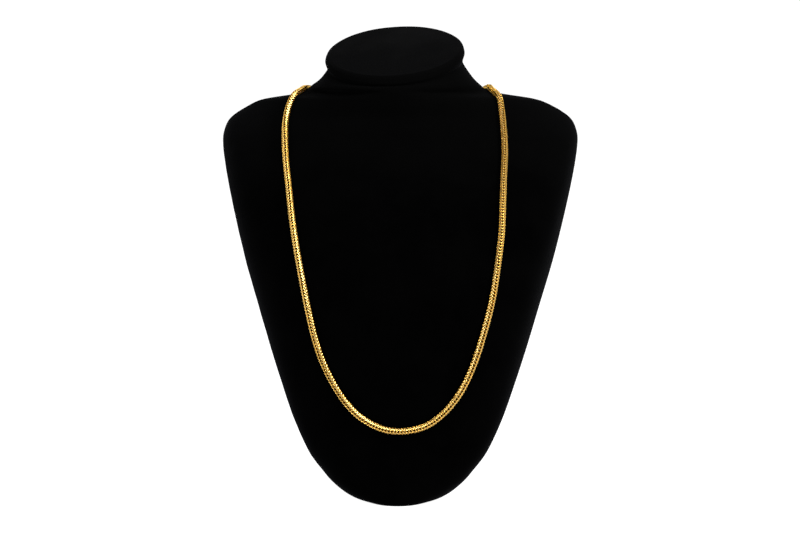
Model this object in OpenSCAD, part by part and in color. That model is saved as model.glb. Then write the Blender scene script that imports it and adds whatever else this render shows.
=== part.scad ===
// A square franco chain, closed by a clasp behind the neck, on a black velvet neck bust.
// Millimetres, +Z up, the front towards -Y. The origin is the middle of the bust's flat foot.

/* [Chain] */
// Width and thickness of the square chain
chain_w = 3.5; // [3:0.1:5]
// Chamfer along the chain's four corners
chain_chamfer = 0.7; // [0.3:0.1:1.1]
// Clearance between the chain and the velvet it lies on
chain_gap = 0.5; // [0.4:0.1:1]

/* [Clasp] */
// Wall of the two end caps
cap_wall = 0.5; // [0.3:0.1:0.8]
// Length of chain that each end cap holds
cap_grip = 3.5; // [2.5:0.5:5]
// Thickness of an end cap's closed end
cap_floor = 1.2; // [0.8:0.1:2]
// Wire of the end caps' loops
loop_wire = 0.9; // [0.6:0.1:1.1]
// Hole in the end caps' loops
loop_hole = 2.4; // [2.2:0.1:3]
// Width of the clasp
clasp_w = 6.4; // [5.5:0.1:8]
// Wire of the clasp
clasp_wire = 1.4; // [1:0.1:1.6]
// Clearance between an end cap and the chain
cap_gap = 0.2; // [0.1:0.05:0.3]

/* [Bust] */
// Width across the shoulders
form_w = 225; // [180:5:270]
// Height of the middle of the neck's top
form_h = 269.5; // [230:0.5:320]
// Greatest thickness of the chest
form_d = 84; // [70:1:100]
// Width of the neck's top
neck_w = 87; // [70:1:95]
// Depth of the neck's top
neck_d = 66; // [56:1:76]
// How far the neck's middle stands behind the foot's middle
neck_back = 76; // [70:1:82]
// Depth of the flat foot
foot_d = 32; // [24:1:40]
// How far the flat back leans from upright
lean = 23; // [18:0.5:26]
// Slope of the neck's top, down to the front
top_slope = 27; // [10:1:32]
// Roll of the neck's top, down to the left
top_roll = 3.5; // [0:0.5:6]
// How far the neck's top stands to the left of the middle
neck_side = 3; // [0:0.5:6]
// Rounding where the flat back meets the sides
back_corner = 13; // [8:1:18]

/* [Stand] */
// Thickness of the back board
board_t = 3; // [2:0.5:5]
// Rim of velvet left bare round the back board
board_inset = 4; // [2:1:10]
// Clearance between the form, the back board and the leg
board_gap = 0.3; // [0.2:0.1:0.6]
// Thickness of the leg
leg_t = 5; // [4:0.5:8]
// Height of the top of the leg's hinge leaf
leg_top = 172; // [150:1:180]
// Length of the leg's hinge leaf
leaf_l = 40; // [30:1:60]
// Width of the leg at its top
leg_top_w = 40; // [30:1:50]
// Width of the leg at its foot
leg_foot_w = 68; // [50:1:76]
// How far the leg's foot stands behind the middle of the form's foot
leg_reach = 112; // [105:1:125]

/* [Hidden] */
$fn = 48;

// Chest sections from the foot up: height as a share of form_h, half width as a share of form_w / 2,
// thickness as a share of form_d, depth and width of the rounded back corners as shares of back_corner,
// and fullness, the exponent of the front's superellipse.
chest_sections = [
    [0.000, 0.165, 0.380, 0.70, 0.70, 2.00],
    [0.007, 0.228, 0.402, 0.80, 0.80, 2.10],
    [0.020, 0.288, 0.430, 0.90, 0.90, 2.20],
    [0.042, 0.353, 0.468, 1.00, 1.00, 2.30],
    [0.065, 0.404, 0.503, 1.00, 1.00, 2.35],
    [0.105, 0.480, 0.560, 1.00, 1.00, 2.40],
    [0.170, 0.558, 0.630, 1.00, 1.00, 2.50],
    [0.235, 0.618, 0.715, 1.00, 1.00, 2.60],
    [0.325, 0.694, 0.835, 1.00, 1.00, 2.60],
    [0.425, 0.772, 0.945, 1.00, 1.00, 2.60],
    [0.525, 0.850, 0.990, 1.00, 1.00, 2.60],
    [0.630, 0.920, 0.960, 1.00, 1.00, 2.60],
    [0.720, 0.973, 0.890, 1.00, 1.00, 2.50],
    [0.785, 1.000, 0.838, 1.10, 1.15, 2.15],
    [0.819, 0.992, 0.840, 1.25, 1.70, 1.80],
    [0.846, 0.955, 0.845, 1.45, 3.20, 1.55],
];
// Neck sections up to its top: height as a share of form_h, half width as a share of neck_w / 2, half
// depth as a share of neck_d / 2, how far the widest line lies behind the middle as a share of neck_d / 2,
// fullness, tilt as a share of the top's slope and roll, and sideways shift as a share of neck_side.
neck_sections = [
    [0.871, 2.230, 1.045, 0.42, 1.34, 0.00, 0.00],
    [0.889, 1.950, 1.045, 0.28, 1.24, 0.00, 0.15],
    [0.904, 1.375, 1.040, 0.10, 1.40, 0.05, 0.45],
    [0.920, 1.205, 1.030, 0.02, 1.80, 0.20, 0.80],
    [0.940, 1.080, 1.010, 0.00, 2.00, 0.45, 0.90],
    [0.965, 0.972, 0.972, 0.00, 2.00, 0.80, 0.95],
    [0.985, 1.000, 1.000, 0.00, 2.00, 1.00, 1.00],
    [0.996, 0.985, 0.985, 0.00, 2.00, 1.00, 1.00],
    [1.000, 0.940, 0.940, 0.00, 2.00, 1.00, 1.00],
];
// Rings between two sections, steps round the front, and steps round each rounded back corner
ring_steps = 2;
front_steps = 28;
corner_steps = 6;
// Half of the flat that the neck's sections keep behind
neck_flat = 1;

// Both tables as lengths in one form, with these columns
HEIGHT = 0;
HALF_W = 1;
FRONT = 2;
EDGE = 3;
BACK = 4;
CORNER = 5;
FULL = 6;
TILT = 7;
SHIFT = 8;
function back_y(z) = foot_d / 2 + z * tan(lean);
sections = concat(
    [for (s = chest_sections) let (z = s[0] * form_h, back = back_y(z))
        [
            z, s[1] * form_w / 2, back - s[2] * form_d, back - s[3] * back_corner,
            back, s[4] * back_corner, s[5], 0, 0
        ]],
    [for (s = neck_sections) let (w = s[1] * neck_w / 2, d = s[2] * neck_d / 2)
        [
            s[0] * form_h, w, neck_back - d, neck_back + s[3] * neck_d / 2,
            neck_back + d, w - neck_flat, s[4], s[5], s[6]
        ]]
);
last_section = len(sections) - 1;

// Row of a table at coordinate u, on a smooth curve through its rows
function between(rows, u) =
    let (
        last = len(rows) - 1,
        i = min(floor(u), last - 1),
        t = u - i,
        a = rows[max(i - 1, 0)],
        b = rows[i],
        d = rows[i + 1],
        e = rows[min(i + 2, last)]
    )
    b + t * (d - a) / 2 + t * t * (a - 2.5 * b + 2 * d - e / 2) + t * t * t * (-a + 3 * b - 3 * d + e) / 2;

// Section coordinate at height z, by halving
halvings = 20;
function section_at(z, low = 0, high = last_section, left = halvings) =
    let (middle = (low + high) / 2)
    left == 0 ? middle
        : between(sections, middle)[HEIGHT] < z ? section_at(z, middle, high, left - 1)
        : section_at(z, low, middle, left - 1);

// Point of the form's surface at section coordinate u and a bearing: 0 in front, 90 at +X, 180 behind.
// A fullness under 2 points the section at both shoulders, and its front is rounded off again.
function form_point(u, bearing) =
    let (
        s = abs(sin(bearing)),
        c = abs(cos(bearing)),
        side = sign(sin(bearing)),
        row = between(sections, u),
        w = row[HALF_W],
        edge = row[EDGE],
        corner = row[CORNER],
        power = 2 / row[FULL],
        in_front = abs(bearing) <= 90,
        pointed = pow(s, power),
        rounded = pointed + max(0, power - 1) * c * c * (s - pointed),
        x = side * (in_front ? w * rounded : w - corner + corner * s),
        y = in_front ? (row[FRONT] - edge) * pow(c, power) : (row[BACK] - edge) * c,
        slope = top_slope * row[TILT],
        roll = top_roll * row[TILT]
    )
    [x - neck_side * row[SHIFT], edge + y, row[HEIGHT] + y * tan(slope) + x * tan(roll)];

bearings = concat(
    [for (k = [0:corner_steps]) -180 + 90 * k / corner_steps],
    [for (k = [1:front_steps - 1]) -90 + 180 * k / front_steps],
    [for (k = [0:corner_steps]) 90 + 90 * k / corner_steps]
);

// Solid through rings of equal count, bottom ring first, each ring running left to right in front
module loft(rings) {
    n = len(rings[0]);
    last = len(rings) - 1;
    faces = concat(
        [[for (j = [0:n - 1]) j]],
        [[for (j = [n - 1:-1:0]) last * n + j]],
        [for (i = [0:last - 1], j = [0:n - 1]) [i * n + j, (i + 1) * n + j, (i + 1) * n + (j + 1) % n]],
        [for (i = [0:last - 1], j = [0:n - 1]) [i * n + j, (i + 1) * n + (j + 1) % n, i * n + (j + 1) % n]]
    );
    polyhedron(points = [for (ring = rings) each ring], faces = faces, convexity = 6);
}

// The chain's route on the form, from its left end behind the neck, round the front, to its right end:
// bearing round the form, and height as a share of form_h.
route = [
    [-174, 0.892], [-160, 0.892], [-146, 0.894], [-133, 0.898], [-119, 0.9025], [-104, 0.9062],
    [-88, 0.9068], [-72, 0.9002], [-58, 0.8908], [-50, 0.870], [-43.5, 0.8395], [-38.4, 0.804], [-34.05, 0.751],
    [-32.0, 0.690], [-31.6, 0.625], [-31.3, 0.560], [-30.85, 0.490], [-30.45, 0.420], [-29, 0.3425],
    [-24, 0.268], [-15, 0.2045], [-2, 0.1692],
    [11, 0.1802], [22.7, 0.2345], [28.8, 0.305], [31.35, 0.383], [32.35, 0.455], [31.85, 0.525],
    [31.35, 0.592], [30.35, 0.655], [30.1, 0.715], [32.1, 0.769], [37.2, 0.822], [43, 0.859],
    [53, 0.8885], [68, 0.9000], [84, 0.9068], [100, 0.9065], [116, 0.903], [132, 0.898],
    [146, 0.894], [159, 0.892], [174, 0.892],
];
route_steps = 2;
route_end = len(route) - 1;

cap_r = norm([chain_w / 2, chain_w / 2 - chain_chamfer]) + cap_gap + cap_wall;
// Steps to each side for the form's direction: in section coordinate and in degrees
nudge = 0.02;
turn = 2;

function unit(v) = v / norm(v);
// Outward direction of the form at section coordinate u and a bearing
function form_normal(u, bearing) =
    unit(cross(
        form_point(u, bearing + turn) - form_point(u, bearing - turn),
        form_point(u + nudge, bearing) - form_point(u - nudge, bearing)
    ));
// How far the chain's middle lies off the form at route point k: more at the ends, where the wider caps rest
function lift(k) = chain_gap + (k == 0 || k == route_end ? cap_r : chain_w / 2);
// The chain's middle and its outward direction over each route point, as one row of six
route_rows = [for (k = [0:route_end])
    let (
        u = section_at(route[k][1] * form_h),
        out = form_normal(u, route[k][0])
    )
    concat(form_point(u, route[k][0]) + lift(k) * out, out)];
chain_frames = [for (k = [0:route_end * route_steps])
    let (row = between(route_rows, k / route_steps))
    [[row[0], row[1], row[2]], unit([row[3], row[4], row[5]])]];
chain_last = len(chain_frames) - 1;
function chain_along(k) =
    unit(chain_frames[min(k + 1, chain_last)][0] - chain_frames[max(k - 1, 0)][0]);

half = chain_w / 2;
flat_half = half - chain_chamfer;
chain_outline = [
    [half, -flat_half], [flat_half, -half], [-flat_half, -half], [-half, -flat_half],
    [-half, flat_half], [-flat_half, half], [flat_half, half], [half, flat_half]
];
function chain_ring(k) =
    let (
        along = chain_along(k),
        across = unit(cross(along, chain_frames[k][1])),
        out = cross(across, along)
    )
    [for (p = chain_outline) chain_frames[k][0] + across * p[0] + out * p[1]];

module bust_form() {
    color("#0b0b0d")
    loft([for (k = [0:last_section * ring_steps]) [for (b = bearings) form_point(k / ring_steps, b)]]);
}

// Places its children in the leaning plane of the flat back: X across, Y up the slope, Z out behind
module on_back() {
    translate([0, foot_d / 2, 0])
    rotate([90 + lean, 0, 180])
    children();
}

// The chest sections that the back board spans, where the back is flat
first_board_row = 4;
last_board_row = 13;
board_heights = [for (k = [first_board_row:last_board_row]) chest_sections[k][0] * form_h];
function board_half(z) =
    let (row = between(sections, section_at(z)))
    row[HALF_W] - row[CORNER] - board_inset;

module back_board() {
    color("#161618")
    on_back()
    translate([0, 0, board_gap])
    linear_extrude(board_t)
    polygon(concat(
        [for (z = board_heights) [board_half(z), z / cos(lean)]],
        [for (k = [len(board_heights) - 1:-1:0]) let (z = board_heights[k]) [-board_half(z), z / cos(lean)]]
    ));
}

// Y of the leg's leaf at height z, at a distance off the back board
function leaf_y(z, off) = back_y(z) + (board_t + 2 * board_gap + off) / cos(lean);

module easel_leg() {
    leaf_low = leg_top - leaf_l;
    color("#161618")
    intersection() {
        translate([-leg_foot_w / 2, 0, 0])
        rotate([90, 0, 90])
        linear_extrude(leg_foot_w)
        polygon([
            [leaf_y(leg_top, 0), leg_top],
            [leaf_y(leaf_low, 0), leaf_low],
            [leaf_y(leaf_low, leg_t), leaf_low],
            [leaf_y(leg_top - 2 * leg_t, leg_t), leg_top - 2 * leg_t],
            [leg_reach - leg_t / 2, 0],
            [leg_reach + leg_t / 2, 0],
            [leaf_y(leg_top, leg_t), leg_top],
        ]);
        translate([0, leg_reach + leg_t, 0])
        rotate([90, 0, 0])
        linear_extrude(leg_reach + leg_t)
        polygon([
            [leg_foot_w / 2, 0], [leg_top_w / 2, leg_top],
            [-leg_top_w / 2, leg_top], [-leg_foot_w / 2, 0]
        ]);
    }
}

module chain() {
    color("#d8a23a")
    loft([for (k = [0:chain_last]) chain_ring(k)]);
}

// Puts its children at a chain end, with +Z along the chain and out of its end
module at_chain_end(k, direction) {
    along = chain_along(k) * direction;
    translate(chain_frames[k][0])
    rotate([0, acos(along[2]), atan2(along[1], along[0])])
    children();
}

loop_r = (loop_hole + loop_wire) / 2;
// How far a cut runs past the face it opens
past = 1;

module end_cap() {
    color("#d8a23a") {
        difference() {
            translate([0, 0, -cap_grip])
            cylinder(h = cap_grip + cap_gap + cap_floor, r = cap_r);
            translate([0, 0, -cap_grip - past])
            cylinder(h = cap_grip + cap_gap + past, r = cap_r - cap_wall);
        }
        translate([0, 0, cap_gap + cap_floor + loop_r])
        rotate([0, 90, 0])
        rotate_extrude()
        translate([loop_r, 0])
        circle(d = loop_wire);
    }
}

module end_cap_left() {
    at_chain_end(0, -1) end_cap();
}

module end_cap_right() {
    at_chain_end(chain_last, 1) end_cap();
}

// Middle of the hole in the loop at one chain end
function loop_middle(k, direction) =
    chain_frames[k][0] + chain_along(k) * direction * (cap_gap + cap_floor + loop_r);

// Steps round each bend of the clasp, and round its wire
bend_steps = 10;
wire_steps = 14;

// One closed ring of wire: two bends and the straight runs between them
module clasp() {
    start = loop_middle(0, -1);
    span = loop_middle(chain_last, 1) - start;
    bend_r = (clasp_w - clasp_wire) / 2;
    straight = norm(span) - 2 * bend_r;
    rings = [for (side = [1, -1], k = [0:bend_steps])
        let (a = -90 * side + 180 * k / bend_steps)
        [for (j = [0:wire_steps - 1])
            let (w = 360 * j / wire_steps, r = bend_r + clasp_wire / 2 * cos(w))
            [side * straight / 2 + r * cos(a), r * sin(a), clasp_wire / 2 * sin(w)]]];
    n = len(rings);
    m = wire_steps;
    color("#d8a23a")
    translate(start + span / 2)
    rotate([0, -asin(span[2] / norm(span)), atan2(span[1], span[0])])
    rotate([90, 0, 0])
    polyhedron(
        points = [for (ring = rings) each ring],
        faces = [for (i = [0:n - 1], j = [0:m - 1], half = [0, 1])
            let (a = i * m + j, b = (i + 1) % n * m + j, c = (i + 1) % n * m + (j + 1) % m, d = i * m + (j + 1) % m)
            half == 0 ? [a, c, b] : [a, d, c]],
        convexity = 4
    );
}

bust_form();
back_board();
easel_leg();
chain();
end_cap_left();
end_cap_right();
clasp();
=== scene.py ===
"""A square franco chain on a black velvet neck bust. Metres, +Z up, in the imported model's frame."""
import math
import bpy
import numpy as np
from mathutils import Matrix, Vector
from mathutils.bvhtree import BVHTree


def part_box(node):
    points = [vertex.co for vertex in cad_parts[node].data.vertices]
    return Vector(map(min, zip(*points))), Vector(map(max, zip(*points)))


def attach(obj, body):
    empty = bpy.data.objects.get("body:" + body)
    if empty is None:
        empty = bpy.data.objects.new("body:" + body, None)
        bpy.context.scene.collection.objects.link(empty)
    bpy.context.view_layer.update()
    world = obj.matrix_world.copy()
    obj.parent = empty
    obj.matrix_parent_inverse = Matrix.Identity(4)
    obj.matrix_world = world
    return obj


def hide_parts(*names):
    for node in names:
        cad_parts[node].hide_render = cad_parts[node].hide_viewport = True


MM = 0.001
BODY = "root"

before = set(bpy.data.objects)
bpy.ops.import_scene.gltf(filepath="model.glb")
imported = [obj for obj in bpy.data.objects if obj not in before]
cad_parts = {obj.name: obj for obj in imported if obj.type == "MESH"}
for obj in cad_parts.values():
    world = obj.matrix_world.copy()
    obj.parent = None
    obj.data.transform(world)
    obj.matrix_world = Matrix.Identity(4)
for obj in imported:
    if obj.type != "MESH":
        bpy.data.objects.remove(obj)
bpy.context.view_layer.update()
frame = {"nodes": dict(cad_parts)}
nodes = frame["nodes"]


# ---------------------------------------------------------------- modelling help

def deselect():
    if bpy.context.object and bpy.context.object.mode != "OBJECT":
        bpy.ops.object.mode_set(mode="OBJECT")
    bpy.ops.object.select_all(action="DESELECT")


def pick(piece):
    """Makes one object the only selected and active one."""
    deselect()
    piece.select_set(True)
    bpy.context.view_layer.objects.active = piece
    return piece


def edit(piece):
    """Enters edit mode on faces with nothing selected."""
    pick(piece)
    bpy.ops.object.mode_set(mode="EDIT")
    bpy.ops.mesh.select_mode(type="FACE")
    bpy.ops.mesh.select_all(action="DESELECT")


def leave():
    bpy.ops.object.mode_set(mode="OBJECT")


def select_faces(piece, wanted):
    """Selects the faces of the piece in edit mode for which wanted(centre, normal) holds."""
    leave()
    for face in piece.data.polygons:
        face.select = bool(wanted(face.center, face.normal))
    bpy.ops.object.mode_set(mode="EDIT")


def apply(piece, kind, **settings):
    """Adds a modifier, sets it and applies it."""
    pick(piece)
    modifier = piece.modifiers.new(kind.lower(), kind)
    for key, value in settings.items():
        setattr(modifier, key, value)
    bpy.ops.object.modifier_apply(modifier=modifier.name)


def smooth(piece, angle=40):
    pick(piece)
    bpy.ops.object.shade_smooth_by_angle(angle=math.radians(angle))


def copy_of(node, name):
    """A merged copy of a CAD node's mesh as a new piece."""
    piece = nodes[node].copy()
    piece.data = nodes[node].data.copy()
    piece.name = piece.data.name = name
    piece.parent = None
    for key in list(piece.keys()):
        del piece[key]
    bpy.context.scene.collection.objects.link(piece)
    edit(piece)
    bpy.ops.mesh.select_all(action="SELECT")
    bpy.ops.mesh.remove_doubles(threshold=0.002 * MM)
    leave()
    if piece.data.has_custom_normals:
        bpy.ops.mesh.customdata_custom_splitnormals_clear()
    return piece


def settle(piece, material, replaces):
    """Puts the place into the mesh, dresses the piece and ties it to the body."""
    pick(piece)
    bpy.ops.object.transform_apply(location=True, rotation=True, scale=True)
    piece.data.materials.clear()
    piece.data.materials.append(material)
    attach(piece, BODY)
    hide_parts(*replaces)


# ---------------------------------------------------------------- materials

class Field:
    """A socket whose sums are written as they are read."""

    def __init__(self, nodes, socket):
        self.nodes = nodes
        self.socket = socket

    def math(self, operation, *others):
        return self.nodes.node("ShaderNodeMath", {"operation": operation}, self, *others)

    def __add__(self, other):
        return self.math("ADD", other)

    def __radd__(self, other):
        return self.math("ADD", other)

    def __mul__(self, other):
        return self.math("MULTIPLY", other)

    def __rmul__(self, other):
        return self.math("MULTIPLY", other)


class Nodes:
    """A node tree whose nodes all come from one method."""

    def __init__(self, tree):
        self.tree = tree

    def put(self, socket, value):
        if isinstance(value, Field):
            self.tree.links.new(value.socket, socket)
        else:
            socket.default_value = value

    def node(self, kind, settings, *values, output=0, **named):
        """Adds a node: its settings first, then the values or links of its sockets."""
        made = self.tree.nodes.new(kind)
        for key, value in settings.items():
            if key == "stops":
                ramp = made.color_ramp.elements
                while len(ramp) < len(value):
                    ramp.new(0.5)
                for stop, (place, colour) in zip(ramp, value):
                    stop.position = place
                    stop.color = colour
            else:
                setattr(made, key, value)
        for socket, value in zip(made.inputs, values):
            self.put(socket, value)
        for key, value in named.items():
            self.put(made.inputs[key.replace("_", " ")], value)
        return Field(self, made.outputs[output])

    def place(self, output="Object"):
        return self.node("ShaderNodeTexCoord", {}, output=output)

    def along(self, axis, output="Object"):
        """The place, or the direction, measured along one axis."""
        return self.node(
            "ShaderNodeVectorMath", {"operation": "DOT_PRODUCT"}, self.place(output), axis, output="Value"
        )

    def noise(self, scale, detail, roughness):
        return self.node(
            "ShaderNodeTexNoise", {}, Vector=self.place(), Scale=scale, Detail=detail, Roughness=roughness
        )

    def ramp(self, field, *stops):
        return self.node("ShaderNodeValToRGB", {"stops": stops}, field)


class Paint(Nodes):
    """A material: uniform values on its shader's own sockets, varying ones as links."""

    def __init__(self, name, **uniform):
        self.material = bpy.data.materials.new(name)
        self.material.use_nodes = True
        super().__init__(self.material.node_tree)
        self.shader = self.tree.nodes["Principled BSDF"]
        for key, value in uniform.items():
            self.shader.inputs[key.replace("_", " ")].default_value = value

    def shade(self, **fields):
        for key, value in fields.items():
            self.put(self.shader.inputs[key.replace("_", " ")], value)

    def bump(self, height, distance, strength=1.0):
        self.shade(Normal=self.node("ShaderNodeBump", {}, Strength=strength, Distance=distance, Height=height))


def grey(value):
    return (value, value, value, 1.0)


def velvet(name):
    """Black pile: fibre bump, brushed patches, and painted light that turns the shoulders and the neck's top
    greyer, as if lit from above.
    """
    paint = Paint(
        name, Specular_IOR_Level=0.0, Sheen_Weight=0.022, Sheen_Roughness=0.35, Sheen_Tint=(0.9, 0.92, 1.0, 1.0)
    )
    brushed = paint.noise(38.0, 3.0, 0.55)
    fibre = paint.noise(2600.0, 2.0, 0.6)
    # 0 up to 178 mm above the table, 1 from 289 mm: painted light on the shoulders and the neck's top
    height = paint.node(
        "ShaderNodeMath", {"operation": "MULTIPLY_ADD", "use_clamp": True}, paint.along((0, 0, 1.0)), 9.0, -1.6
    )
    # Half of the tone is painted light that grows with height; the rest is random brushed patches and fibres
    tone = brushed * 0.3 + fibre * 0.2 + height * 0.5
    paint.shade(Base_Color=paint.ramp(
        tone, (0.15, grey(0.0002)), (0.35, grey(0.0008)), (0.65, grey(0.0012)), (0.85, grey(0.0032))
    ))
    paint.shade(Roughness=0.85 + 0.15 * brushed)
    paint.bump(fibre * 0.7 + brushed * 0.3, 0.25 * MM, 0.6)
    return paint.material


def felt(name):
    """Black felt facing on board: short matted fibres."""
    paint = Paint(name, Specular_IOR_Level=0.15, Sheen_Weight=0.04, Sheen_Roughness=0.5)
    matted = paint.noise(900.0, 4.0, 0.7)
    patch = paint.noise(60.0, 2.0, 0.5)
    tone = matted * 0.7 + patch * 0.3
    paint.shade(Base_Color=paint.ramp(tone, (0.3, grey(0.006)), (0.72, grey(0.02))))
    paint.shade(Roughness=0.8 + 0.2 * matted)
    paint.bump(matted, 0.2 * MM, 0.7)
    return paint.material


def gold(name):
    """Yellow gold with a soft lustre; painted shade darkens its colour from the filed faces into the recesses
    between links, and the faces stay paler as a painted highlight.
    """
    paint = Paint(name, Metallic=1.0, Specular_Tint=(1.0, 0.85, 0.45, 1.0))
    cloud = paint.noise(420.0, 2.0, 0.5)
    marks = paint.noise(5200.0, 2.0, 0.6)
    recess = paint.node("ShaderNodeAttribute", {"attribute_name": "recess"}, output="Fac")
    # Painted highlight and shade: paler gold on the outer faces, darkening to near black in the recesses
    paint.shade(Base_Color=paint.ramp(
        recess + 0.12 * cloud,
        (0.03, (1.0, 0.76, 0.32, 1.0)), (0.18, (0.95, 0.57, 0.10, 1.0)),
        (0.4, (0.46, 0.21, 0.010, 1.0)), (0.7, (0.11, 0.04, 0.001, 1.0)),
    ))
    paint.shade(Roughness=0.29 + 0.08 * marks)
    paint.bump(marks, 0.02 * MM, 0.2)
    return paint.material


black_velvet = velvet("black_velvet")
board_felt = felt("black_felt")
yellow_gold = gold("yellow_gold")


# ---------------------------------------------------------------- velvet bust

NECK_TOP_LEAN = math.radians(27)  # the neck's top leans forwards from level
RIM_ROUND = 1.5 * MM              # from a disc's edge to its first ring
RIM_BAND = 6 * MM                 # from there to its second, inside which the disc stays flat
HOLD_TRIES = 4                    # passes that bring the rounded points back to where they were
LEFT_NECK_ROOT = Vector((-57.2, 78.2, 245.2)) * MM  # where the chain leaves the left shoulder
PILE_RISE = 0.7 * MM              # how far the pile stands up there, under the chain
PILE_CORE = 2.5 * MM              # radius that rises whole
PILE_FADE = 9 * MM                # distance over which the rise runs out


def round_over(piece, levels):
    """Subdivides the piece smoothly while its own points stay where they are."""
    size = len(piece.data.vertices)
    wanted = np.array([v.co for v in piece.data.vertices])
    for _ in range(HOLD_TRIES):
        trial = piece.copy()
        trial.data = piece.data.copy()
        bpy.context.scene.collection.objects.link(trial)
        apply(trial, "SUBSURF", levels=levels, render_levels=levels)
        reached = np.array([v.co for v in trial.data.vertices[:size]])
        bpy.data.objects.remove(trial)
        held = np.array([v.co for v in piece.data.vertices]) + wanted - reached
        piece.data.vertices.foreach_set("co", held.ravel())
        piece.data.update()
    apply(piece, "SUBSURF", levels=levels, render_levels=levels)


def velvet_bust():
    """The moulded form under glued velvet: smooth all over, with the neck's top and the foot as flat discs."""
    piece = copy_of("bust_form", "bust_velvet")
    low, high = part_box("bust_form")
    neck_from = low[2] + 0.85 * (high[2] - low[2])
    top = Vector((0, -math.sin(NECK_TOP_LEAN), math.cos(NECK_TOP_LEAN)))
    for wanted in (
        lambda centre, normal: normal.dot(top) > 0.99 and centre.z > neck_from,
        lambda centre, normal: normal.z < -0.999 and centre.z < low[2] + 0.1 * MM,
    ):
        edit(piece)
        select_faces(piece, wanted)
        bpy.ops.mesh.dissolve_faces()
        bpy.ops.mesh.inset(thickness=RIM_ROUND)
        bpy.ops.mesh.inset(thickness=RIM_BAND)
        leave()
    edit(piece)
    bpy.ops.mesh.select_all(action="SELECT")
    bpy.ops.mesh.tris_convert_to_quads(face_threshold=math.radians(60), shape_threshold=math.radians(120))
    leave()
    round_over(piece, levels=2)
    edit(piece)
    select_faces(piece, lambda centre, normal: (centre - LEFT_NECK_ROOT).length < PILE_CORE)
    bpy.ops.transform.shrink_fatten(
        value=PILE_RISE, use_proportional_edit=True, proportional_edit_falloff="SMOOTH",
        proportional_size=PILE_FADE,
    )
    leave()
    pick(piece)
    bpy.ops.object.shade_smooth()
    settle(piece, black_velvet, ["bust_form"])


velvet_bust()


# ---------------------------------------------------------------- board and leg

BOARD_EDGE = 0.7 * MM  # the felt's turn over the board's edges


def covered_board(node, name):
    """A felt-faced board with its edges rounded over."""
    piece = copy_of(node, name)
    edit(piece)
    bpy.ops.mesh.select_all(action="SELECT")
    bpy.ops.mesh.dissolve_limited(angle_limit=math.radians(1))
    leave()
    apply(piece, "BEVEL", width=BOARD_EDGE, segments=3, limit_method="ANGLE", angle_limit=math.radians(25))
    smooth(piece)
    settle(piece, board_felt, [node])


covered_board("back_board", "back_board_felt")
covered_board("easel_leg", "easel_leg_felt")


# ---------------------------------------------------------------- the chain's course

RING_REACH = 2.2 * MM  # neighbours on one ring of the CAD tube lie closer than this, and two rings further apart
CURVE_STEPS = 24       # points of the smooth middle line from one ring to the next
SIDE_BLEND = 9 * MM    # length over which the way out from the velvet is evened out


def tube_rings(node):
    """Middles of the CAD tube's rings, in order from the left end."""
    points = np.array([v.co for v in nodes[node].data.vertices])
    points = np.unique(points.round(7), axis=0)
    near = np.linalg.norm(points[:, None] - points[None], axis=2) < RING_REACH
    group = np.full(len(points), -1)
    for start in range(len(points)):
        if group[start] < 0:
            open_points = [start]
            while open_points:
                here = open_points.pop()
                group[here] = start
                open_points += [int(k) for k in np.flatnonzero(near[here] & (group < 0))]
    middles = [points[group == g].mean(0) for g in np.unique(group)]
    low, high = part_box("end_cap_left")
    here = np.array((low + high) / 2)
    order = []
    while middles:
        k = int(np.argmin([np.linalg.norm(m - here) for m in middles]))
        here = middles.pop(k)
        order.append(here)
    return np.array(order)


def curve_through(points):
    """Close points on a smooth open curve through the given ones."""
    first, last = 2 * points[0] - points[1], 2 * points[-1] - points[-2]
    rows = np.vstack([first, points, last])
    t = (np.arange(CURVE_STEPS) / CURVE_STEPS)[:, None]
    made = []
    for a, b, c, d in zip(rows, rows[1:], rows[2:], rows[3:]):
        square, cube = a - 2.5 * b + 2 * c - d / 2, -a + 3 * b - 3 * c + d
        made.append(b + t * (c - a) / 2 + t * t * square + t ** 3 * cube / 2)
    return np.vstack([*made, points[-1:]])


def unit(rows):
    """The rows as directions."""
    return rows / np.linalg.norm(rows, axis=-1, keepdims=True)


class Course:
    """The chain's middle line, with its direction and the way out from the velvet at each length along it."""

    def __init__(self, node, form):
        self.line = curve_through(tube_rings(node))
        steps = np.linalg.norm(np.diff(self.line, axis=0), axis=1)
        self.along = np.concatenate([[0.0], np.cumsum(steps)])
        self.length = self.along[-1]
        mesh = nodes[form].data
        tree = BVHTree.FromPolygons([v.co for v in mesh.vertices], [f.vertices for f in mesh.polygons])
        out = np.array([np.array(p) - np.array(tree.find_nearest(Vector(p))[0]) for p in self.line])
        out = unit(out)
        forward = unit(np.gradient(self.line, self.along, axis=0))
        window = np.exp(-((self.along[:, None] - self.along[None]) / SIDE_BLEND) ** 2)
        out = (window @ out) / window.sum(1, keepdims=True)
        out -= forward * (out * forward).sum(1, keepdims=True)
        self.out = unit(out)
        self.across = np.cross(forward, self.out)

    def at(self, rows, s):
        """The rows' values at the lengths s."""
        return np.column_stack([np.interp(s, self.along, rows[:, k]) for k in range(3)])

    def bend(self, points, roll):
        """Points (across, out, along) of a straight piece, rolled about its length and bent along the course."""
        x, y, s = points.T
        turn = np.radians(np.interp(s / self.length, *zip(*roll)))
        x, y = x * np.cos(turn) - y * np.sin(turn), x * np.sin(turn) + y * np.cos(turn)
        return self.at(self.line, s) + self.at(self.across, s) * x[:, None] + self.at(self.out, s) * y[:, None]


course = Course("chain", "bust_form")


# ---------------------------------------------------------------- the chain's links

WIRE = 0.54 * MM      # the wire's thickness
PITCH = 1.85 * MM     # from one link to the next on the same diagonal
FACE = 1.70 * MM      # from the chain's middle to its filed faces
FILING = 0.006        # share by which the filing varies from link to link
TILT = 1.0            # degrees by which a link lies off its place
RECESS = 0.5          # share of the way in from the faces at which a wire's painted shade is at its darkest
END_ROOM = 0.4 * MM   # from the tube's ends to the first and last wire
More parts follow.
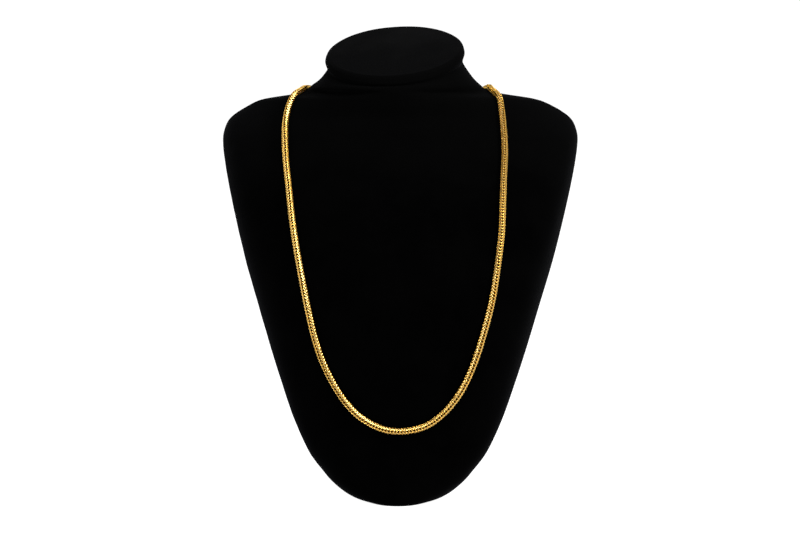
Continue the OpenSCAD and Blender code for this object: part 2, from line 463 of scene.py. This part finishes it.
# One arm of a link, in mm, folded up from the waist: out to the corner, to the side, along the chain
LINK_ARM = [
    (1.42, 0.26, -0.10),
    (1.72, 0.26, 0.15),
    (1.60, 0.62, 0.65),
    (1.22, 1.05, 1.25),
    (1.03, 0.72, 1.95),
    (0.95, 0.00, 2.20),
]
# How the square lies turned about its own length: share of the length, degrees
ROLL = [
    (0.00, 0), (0.08, 0), (0.13, 45), (0.19, 66), (0.25, 60), (0.35, 50), (0.44, 34), (0.50, 42),
    (0.56, 46), (0.64, 50), (0.73, 60), (0.78, 52), (0.83, 50), (0.88, 30), (0.92, 0), (1.00, 0),
]


def one_link():
    """A closed wire folded in two: a narrow waist and two arms with rounded heads."""
    side = [Vector(row) for row in LINK_ARM]
    arm = side + [Vector((u, -v, z)) for u, v, z in side[-2::-1]]
    loop = arm + [Vector((-u, -v, z)) for u, v, z in arm]
    deselect()
    bpy.ops.mesh.primitive_circle_add(vertices=len(loop), radius=1)
    piece = bpy.context.object
    for vertex, point in zip(piece.data.vertices, loop):
        vertex.co = point * MM
    bpy.ops.object.convert(target="CURVE")
    piece.data.bevel_depth = WIRE / 2
    piece.data.bevel_resolution = 1
    piece.data.twist_mode = "MINIMUM"
    bpy.ops.object.convert(target="MESH")
    edit(piece)
    bpy.ops.mesh.select_all(action="SELECT")
    bpy.ops.mesh.remove_doubles(threshold=0.001 * MM)
    bpy.ops.mesh.normals_make_consistent(inside=False)
    leave()
    return piece


def woven_links(name, turn, start, count, seed):
    """Every second link of the weave: one link in a long array, turned on its diagonal, filed flat and bent."""
    piece = one_link()
    piece.name = piece.data.name = name
    size = len(piece.data.vertices)
    pick(piece)
    bpy.ops.transform.rotate(value=math.radians(turn), orient_axis="Z", center_override=(0, 0, 0))
    bpy.ops.object.transform_apply(location=True, rotation=True, scale=True)
    apply(
        piece, "ARRAY", count=count, use_relative_offset=False, use_constant_offset=True,
        constant_offset_displace=(0, 0, PITCH),
    )
    points = np.array([v.co for v in piece.data.vertices]).reshape(count, size, 3)
    random = np.random.RandomState(seed)
    middle = points.mean(1, keepdims=True)
    tilt = np.radians(random.normal(0, TILT, (count, 1, 3)))
    points = (points + np.cross(tilt, points - middle)).reshape(-1, 3)
    reach = FACE * (1 + FILING * np.sin(np.arange(count) * 2.4))
    reach = np.repeat(reach, size)[:, None]
    points[:, :2] = np.clip(points[:, :2], -reach, reach)
    # Painted shade: 0 on the filed faces, rising to 1 deeper in the weave, where the gold is painted darker
    depth = np.clip((1 - np.abs(points[:, :2]).max(1) / FACE) / RECESS, 0, 1)
    piece.data.attributes.new("recess", "FLOAT", "POINT").data.foreach_set("value", depth)
    points[:, 2] += start
    bent = course.bend(points, ROLL)
    piece.data.vertices.foreach_set("co", bent.ravel())
    piece.data.update()
    smooth(piece, 50)
    return piece


def chain():
    """The two sets of links, one on each diagonal, half a pitch apart."""
    head = max(row[2] for row in LINK_ARM) * MM
    room = course.length - 2 * END_ROOM - head - WIRE - PITCH / 2
    count = int(room / PITCH) + 1
    start = END_ROOM + WIRE / 2
    first = woven_links("chain_links_rising", 45, start, count, seed=5)
    second = woven_links("chain_links_falling", 135, start + PITCH / 2, count, seed=6)
    settle(first, yellow_gold, ["chain"])
    settle(second, yellow_gold, ["chain"])
    print("links", 2 * count, "course mm", round(course.length / MM, 1))


chain()
for name in ("end_cap_left", "end_cap_right", "clasp"):
    nodes[name].data.materials.clear()
    nodes[name].data.materials.append(yellow_gold)


# ---------------------------------------------------------------- floor, light and camera

# How bright the sweep glows: place along Y plus FLOOR_SHIFT metres, level
FLOOR_SHIFT = 0.9
FLOOR_GLOW = ((0.5, grey(0.10)), (0.79, grey(0.95)), (1.0, grey(0.98)))
# How bright the world is from the front, 0, to behind and above, 1
WORLD_GLOW = (
    (0.0, grey(0.22)), (0.2, grey(0.34)), (0.5, grey(0.5)), (0.8, grey(0.85)), (0.93, grey(1.0)),
)
WORLD_STRENGTH = 1.05
# Name, place, what it is aimed at, width and height, watts
SOFTBOXES = (
    ("overhead", (0.18, -0.38, 0.92), (0.02, 0.03, 0.2), (0.4, 0.2), 4.5),
    ("right", (1.1, -0.6, 0.85), (0, 0, 0.2), (0.25, 0.5), 20),
    ("left", (-1.1, -0.6, 0.8), (0, 0, 0.2), (0.25, 0.5), 6.5),
)
CAMERA_PLACE = (0.0206, -1.157, 0.242)
CAMERA_AIM = (-0.0165, 0.9961, -0.0872)
CAMERA_LENS = 88.3    # mm, on a sensor 36 mm wide


def sweep():
    """A white sweep that glows as painted light: white under and behind the bust, falling off to grey in front."""
    deselect()
    bpy.ops.mesh.primitive_circle_add(vertices=96, radius=9.0, fill_type="NGON", location=(0, 0, -0.02 * MM))
    ground = bpy.context.object
    ground.name = "studio_sweep"
    paint = Paint("studio_white", Base_Color=(0.25, 0.25, 0.25, 1.0), Roughness=0.9, Specular_IOR_Level=0.1)
    paint.shader.inputs["Emission Strength"].default_value = 1.0
    # Painted light: the sweep's own glow, brighter towards the back
    paint.shade(Emission_Color=paint.ramp(paint.along((0, 1.0, 0)) + FLOOR_SHIFT, *FLOOR_GLOW))
    ground.data.materials.append(paint.material)


def softbox(name, place, target, size, power):
    """A rectangular lamp aimed at a point."""
    deselect()
    bpy.ops.object.light_add(type="AREA", location=place)
    lamp = bpy.context.object
    lamp.name = name
    lamp.data.shape = "RECTANGLE"
    lamp.data.size, lamp.data.size_y = size
    lamp.data.energy = power
    lamp.rotation_mode = "QUATERNION"
    lamp.rotation_quaternion = (Vector(target) - Vector(place)).to_track_quat("-Z", "Y")


def studio():
    """The world's glow, the sweep and the lamps."""
    world = bpy.data.worlds.new("studio")
    bpy.context.scene.world = world
    world.use_nodes = True
    sky = Nodes(world.node_tree)
    back = sky.along((0, 0.5, 0.15), "Generated") + 0.5
    background = world.node_tree.nodes["Background"]
    sky.put(background.inputs["Color"], sky.ramp(back, *WORLD_GLOW))
    background.inputs["Strength"].default_value = WORLD_STRENGTH
    sweep()
    for row in SOFTBOXES:
        softbox(*row)


def camera():
    """The photograph's view: from a little above and to the right of the bust's middle."""
    forward = Vector(CAMERA_AIM).normalized()
    right = forward.cross(Vector((0, 0, 1))).normalized()
    up = right.cross(forward)
    deselect()
    bpy.ops.object.camera_add()
    view = bpy.context.object
    turned = Matrix((right, up, -forward)).transposed().to_4x4()
    view.matrix_world = Matrix.Translation(CAMERA_PLACE) @ turned
    view.data.sensor_width = 36
    view.data.lens = CAMERA_LENS
    view.data.clip_start = 0.05
    view.data.clip_end = 40
    bpy.context.scene.camera = view


studio()
camera()
bpy.context.scene.view_settings.view_transform = "Standard"
bpy.context.scene.view_settings.look = "None"
# The weave is as fine as the noise, and a prefilter would smooth it away
bpy.context.scene.cycles.denoising_prefilter = "NONE"
